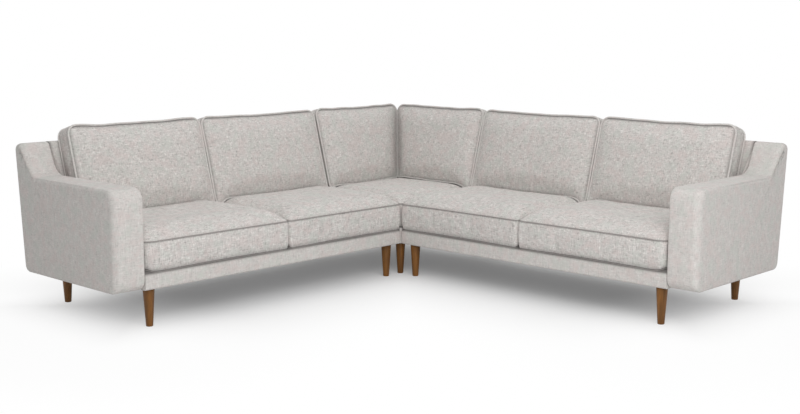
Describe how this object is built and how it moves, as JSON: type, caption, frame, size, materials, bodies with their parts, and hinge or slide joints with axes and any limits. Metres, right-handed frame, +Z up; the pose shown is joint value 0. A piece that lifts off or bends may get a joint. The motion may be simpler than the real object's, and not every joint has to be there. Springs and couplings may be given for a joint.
{
  "type": "sectional sofa",
  "caption": "L-shaped sectional sofa with equal wings, box arms that sweep up into the back, loose piped seat and back cushions and round tapered wooden legs.",
  "frame": {"origin": "on the floor, at the middle of the square footprint of the L", "axes": "+Z up; the left wing runs along -X with its back at +Y, the right wing runs along -Y with its back at +X, and the L opens towards -X and -Y"},
  "size_m": [2.5, 2.5, 0.8382],
  "materials": {
    "frame_fabric": "woven upholstery, oatmeal grey with a heathered fleck, on a thin pad",
    "cushion_fabric": "the same weave over a foam and fibre filling, with piped seams",
    "walnut": "satin walnut stain",
    "hardwood": "planed, unfinished",
    "plywood": "sawn plywood, unfinished",
    "steel": "zinc plated",
    "webbing": "elastic seat webbing",
    "deck_cloth": "felt pad under the seat cushions",
    "dust_cloth": "thin non-woven cloth"
  },
  "bodies": {
    "corner_section": {"corner_rear_back_cover": "frame_fabric", "corner_side_back_cover": "frame_fabric", "corner_rear_back_frame": "plywood", "corner_side_back_frame": "plywood", "corner_base_covers": "frame_fabric", "corner_seat_rails": "hardwood", "corner_leg_plates": "plywood", "corner_leg_bolts": "steel", "corner_legs": "walnut", "corner_webbing": "webbing", "corner_seat_deck": "deck_cloth", "corner_dust_cloth": "dust_cloth", "corner_hook_sockets": "steel"},
    "left_section": {"left_arm_cover": "frame_fabric", "left_arm_frame": "plywood", "left_arm_bolts": "steel", "left_back_cover": "frame_fabric", "left_back_frame": "plywood", "left_rail_cover": "frame_fabric", "left_end_cover": "frame_fabric", "left_front_rail": "hardwood", "left_rear_rail": "hardwood", "left_cross_rails": "hardwood", "left_leg_plates": "plywood", "left_leg_bolts": "steel", "left_legs": "walnut", "left_webbing": "webbing", "left_seat_deck": "deck_cloth", "left_dust_cloth": "dust_cloth", "left_hooks": "steel"},
    "right_section": {"right_arm_cover": "frame_fabric", "right_arm_frame": "plywood", "right_arm_bolts": "steel", "right_back_cover": "frame_fabric", "right_back_frame": "plywood", "right_rail_cover": "frame_fabric", "right_end_cover": "frame_fabric", "right_front_rail": "hardwood", "right_rear_rail": "hardwood", "right_cross_rails": "hardwood", "right_leg_plates": "plywood", "right_leg_bolts": "steel", "right_legs": "walnut", "right_webbing": "webbing", "right_seat_deck": "deck_cloth", "right_dust_cloth": "dust_cloth", "right_hooks": "steel"},
    "left_outer_seat_cushion": {"left_outer_seat_cushion": "cushion_fabric"},
    "left_inner_seat_cushion": {"left_inner_seat_cushion": "cushion_fabric"},
    "corner_seat_cushion": {"corner_seat_cushion": "cushion_fabric"},
    "right_inner_seat_cushion": {"right_inner_seat_cushion": "cushion_fabric"},
    "right_outer_seat_cushion": {"right_outer_seat_cushion": "cushion_fabric"},
    "left_outer_back_cushion": {"left_outer_back_cushion": "cushion_fabric"},
    "left_inner_back_cushion": {"left_inner_back_cushion": "cushion_fabric"},
    "corner_left_back_cushion": {"corner_left_back_cushion": "cushion_fabric"},
    "corner_right_back_cushion": {"corner_right_back_cushion": "cushion_fabric"},
    "right_inner_back_cushion": {"right_inner_back_cushion": "cushion_fabric"},
    "right_outer_back_cushion": {"right_outer_back_cushion": "cushion_fabric"}
  },
  "joints": [
    {"name": "left_section_lift", "type": "slide", "parent": "corner_section", "child": "left_section", "axis": [0, 0, 1], "range_m": [0, 0.03]},
    {"name": "right_section_lift", "type": "slide", "parent": "corner_section", "child": "right_section", "axis": [0, 0, 1], "range_m": [0, 0.03]},
    {"name": "left_outer_seat_cushion_lift", "type": "slide", "parent": "left_section", "child": "left_outer_seat_cushion", "axis": [0, 0, 1], "range_m": [0, 0.52]},
    {"name": "left_inner_seat_cushion_lift", "type": "slide", "parent": "left_section", "child": "left_inner_seat_cushion", "axis": [0, 0, 1], "range_m": [0, 0.52]},
    {"name": "corner_seat_cushion_lift", "type": "slide", "parent": "corner_section", "child": "corner_seat_cushion", "axis": [0, 0, 1], "range_m": [0, 0.52]},
    {"name": "right_inner_seat_cushion_lift", "type": "slide", "parent": "right_section", "child": "right_inner_seat_cushion", "axis": [0, 0, 1], "range_m": [0, 0.52]},
    {"name": "right_outer_seat_cushion_lift", "type": "slide", "parent": "right_section", "child": "right_outer_seat_cushion", "axis": [0, 0, 1], "range_m": [0, 0.52]},
    {"name": "left_outer_back_cushion_lift", "type": "slide", "parent": "left_outer_seat_cushion", "child": "left_outer_back_cushion", "axis": [0, 0, 1], "range_m": [0, 0.4]},
    {"name": "left_inner_back_cushion_lift", "type": "slide", "parent": "left_inner_seat_cushion", "child": "left_inner_back_cushion", "axis": [0, 0, 1], "range_m": [0, 0.4]},
    {"name": "corner_left_back_cushion_lift", "type": "slide", "parent": "corner_seat_cushion", "child": "corner_left_back_cushion", "axis": [0, 0, 1], "range_m": [0, 0.4]},
    {"name": "corner_right_back_cushion_lift", "type": "slide", "parent": "corner_seat_cushion", "child": "corner_right_back_cushion", "axis": [0, 0, 1], "range_m": [0, 0.4]},
    {"name": "right_inner_back_cushion_lift", "type": "slide", "parent": "right_inner_seat_cushion", "child": "right_inner_back_cushion", "axis": [0, 0, 1], "range_m": [0, 0.4]},
    {"name": "right_outer_back_cushion_lift", "type": "slide", "parent": "right_outer_seat_cushion", "child": "right_outer_back_cushion", "axis": [0, 0, 1], "range_m": [0, 0.4]}
  ]
}
